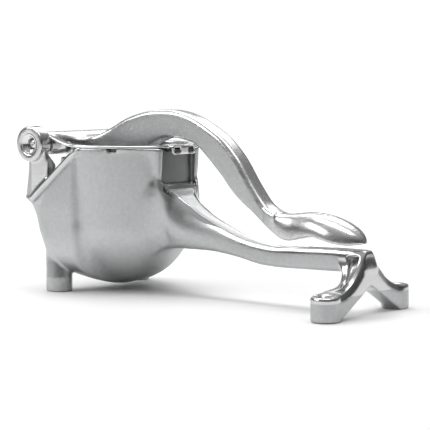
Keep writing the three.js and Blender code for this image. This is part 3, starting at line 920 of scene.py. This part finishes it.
SATIN = (0.50, 0.505, 0.51)
SATIN_LEVER = (0.53, 0.535, 0.54)
POLISHED = (0.60, 0.60, 0.605)
POLISHED_HEAD = (0.64, 0.64, 0.645)
STEEL = (0.70, 0.70, 0.705)
BODY_METAL = cast_aluminium("body_aluminium", SATIN, POLISHED, 0.33, 0.15)
LEVER_METAL = cast_aluminium("lever_aluminium", SATIN_LEVER, POLISHED, 0.3, 0.25)
HEAD_METAL = cast_aluminium("head_aluminium", SATIN, POLISHED_HEAD, 0.33, 0.11)
SHEET_STEEL = polished_steel("strainer_sheet_steel", STEEL, 0.09)
BAR_STEEL = polished_steel("turned_steel", STEEL, 0.08)


# ---- camera, floor and lights ----
def add_camera():
    """From the front right, a little above the press."""
    data = bpy.data.cameras.new("camera")
    data.sensor_width = 36
    data.lens = 137.17
    camera = bpy.data.objects.new("camera", data)
    camera.location = (0.621229, -0.755796, 0.139399)
    aim = Vector((0.003005, 0.0, 0.04998))
    camera.rotation_euler = (aim - camera.location).to_track_quat("-Z", "Y").to_euler()
    data.clip_start = 0.05
    bpy.context.scene.collection.objects.link(camera)
    bpy.context.scene.camera = camera


def add_floor():
    """A wide pale floor."""
    segments = 64
    verts = [(0, 0, 0)]
    for i in range(segments):
        turn = 2 * math.pi * i / segments
        verts.append((FLOOR_R * math.cos(turn), FLOOR_R * math.sin(turn), 0))
    faces = [(0, 1 + i, 1 + (i + 1) % segments) for i in range(segments)]
    mesh = bpy.data.meshes.new("floor")
    mesh.from_pydata(verts, [], faces)
    mesh.materials.append(paper_white("paper_floor"))
    floor = bpy.data.objects.new("floor", mesh)
    bpy.context.scene.collection.objects.link(floor)


def add_light(name, place, aim, size, power):
    data = bpy.data.lights.new(name, "AREA")
    data.shape = "RECTANGLE"
    data.size, data.size_y = size
    data.energy = power
    light = bpy.data.objects.new(name, data)
    light.location = place
    light.rotation_euler = (Vector(aim) - Vector(place)).to_track_quat("-Z", "Y").to_euler()
    bpy.context.scene.collection.objects.link(light)


def add_lights():
    """Soft boxes, and a room that is white behind the press and dark behind the camera."""
    middle = (0, 0, 0.05)
    add_light("overhead", (0.0, 0.1, 1.3), middle, (1.5, 0.5), 10)
    add_light("left", (-1.2, -1.35, 1.2), middle, (1.6, 0.9), 19)
    add_light("behind", (-1.1, 1.5, 1.5), (-1.3, 1.8, 0), (2.0, 2.0), 29)
    world = bpy.data.worlds.new("studio")
    world.use_nodes = True
    tree = world.node_tree
    background = tree.nodes["Background"]
    coords = node(tree, "ShaderNodeTexCoord")
    parts = node(tree, "ShaderNodeSeparateXYZ")
    tree.links.new(coords.outputs["Generated"], parts.inputs["Vector"])
    turn = node(tree, "ShaderNodeMath", operation="ARCTAN2")
    tree.links.new(parts.outputs["Y"], turn.inputs[0])
    tree.links.new(parts.outputs["X"], turn.inputs[1])
    around = spread(tree, turn.outputs["Value"], -math.pi, math.pi, 0, 1)
    level = node(tree, "ShaderNodeMix", data_type="RGBA", blend_type="MULTIPLY")
    level.inputs["Factor"].default_value = 1.0
    tree.links.new(ramp(tree, around, ROOM), level.inputs["A"])
    tree.links.new(ramp(tree, parts.outputs["Z"], ABOVE), level.inputs["B"])
    height = ramp(tree, parts.outputs["Z"], CEILING_SHARE)
    mixed = mix_colours(tree, height, level.outputs["Result"], (CEILING,) * 3 + (1,))
    tree.links.new(mixed, background.inputs["Color"])
    bpy.context.scene.world = world
    bpy.context.scene.view_settings.view_transform = "Standard"


def ramp(tree, value, stops):
    """Grey levels along value, from (place, level) stops."""
    made = node(tree, "ShaderNodeValToRGB")
    first, last = made.color_ramp.elements
    first.position, first.color = stops[0][0], (stops[0][1],) * 3 + (1,)
    last.position, last.color = stops[-1][0], (stops[-1][1],) * 3 + (1,)
    for place, level in stops[1:-1]:
        made.color_ramp.elements.new(place).color = (level,) * 3 + (1,)
    tree.links.new(value, made.inputs["Fac"])
    return made.outputs["Color"]


# ---- assembly ----
def place(piece, body, slot, *nodes):
    """Ties a finished piece to its body, in place of the CAD nodes. Its slot argument is not used.
    """
    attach(piece, body)
    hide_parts(*nodes)


def add_castings():
    """The four modelled fields, each with its grid step in millimetres."""
    body = mesh_of("cast_body", body_field(0.66), BODY_METAL, body_polish)
    place(body, "base", "cast_body", "body_casting")
    lever = mesh_of("arched_lever", lever_field(0.55), LEVER_METAL, lever_polish)
    place(lever, "lever", "cast_lever", "press_lever")
    head = mesh_of("domed_head", head_field(0.6), HEAD_METAL)
    place(head, "head", "cast_head", "press_head")
    strainer = mesh_of("pressed_strainer", strainer_field(0.56), SHEET_STEEL)
    place(strainer, "base", "strainer_steel", "strainer_cup")


def add_hardware():
    """The axle with centre-drilled domed ends, and its dished and flat washers."""
    hinge = (HINGE_X, HINGE_Z)
    end = [(0.2, -0.5), (0.75, -0.45), (1.0, 0.1), (1.35, 0.22), (1.9, 0.05), (2.5, -0.45),
           (2.85, -1.2), (AXLE_R, -2.0)]
    end = [(radius, AXLE_HALF + y) for radius, y in end]
    profile = mirrored(end, -1) + [(AXLE_R, 0.0)] + end[::-1]
    axle = turned_y("turned_axle", profile, hinge, BAR_STEEL)
    place(axle, "base", "bright_steel", "hinge_axle")
    for side, word in ((-1, "near"), (1, "far")):
        face = BOSS_OUT - 0.25
        dish = [(3.5, face - 3.0), (3.6, face - 3.1), (5.3, face - 1.1), (6.3, face - 0.1),
                (6.2, face), (5.6, face), (5.4, face - 0.1), (3.8, face - 2.1),
                (3.5, face - 2.3), (3.5, face - 3.0)]
        dish_piece = turned_y("dished_washer_" + word, mirrored(dish, side), hinge, BAR_STEEL)
        place(dish_piece, "base", "bright_steel", "hinge_cup_washer_" + word)
        inner = HUB_HALF + 0.3
        flat = [(3.2, inner), (6.2, inner), (6.4, inner + 0.15), (6.4, inner + 0.55),
                (6.2, inner + 0.7), (3.4, inner + 0.7), (3.2, inner + 0.5), (3.2, inner)]
        washer = turned_y("flat_washer_" + word, mirrored(flat, side), hinge, BAR_STEEL)
        place(washer, "base", "bright_steel", "hinge_thrust_washer_" + word)


add_camera()
add_floor()
add_lights()
add_castings()
add_hardware()
for name in ("head_pin", "head_pin_clip_near", "head_pin_clip_far"):
    frame["nodes"][name].data.materials.clear()
    frame["nodes"][name].data.materials.append(BAR_STEEL)
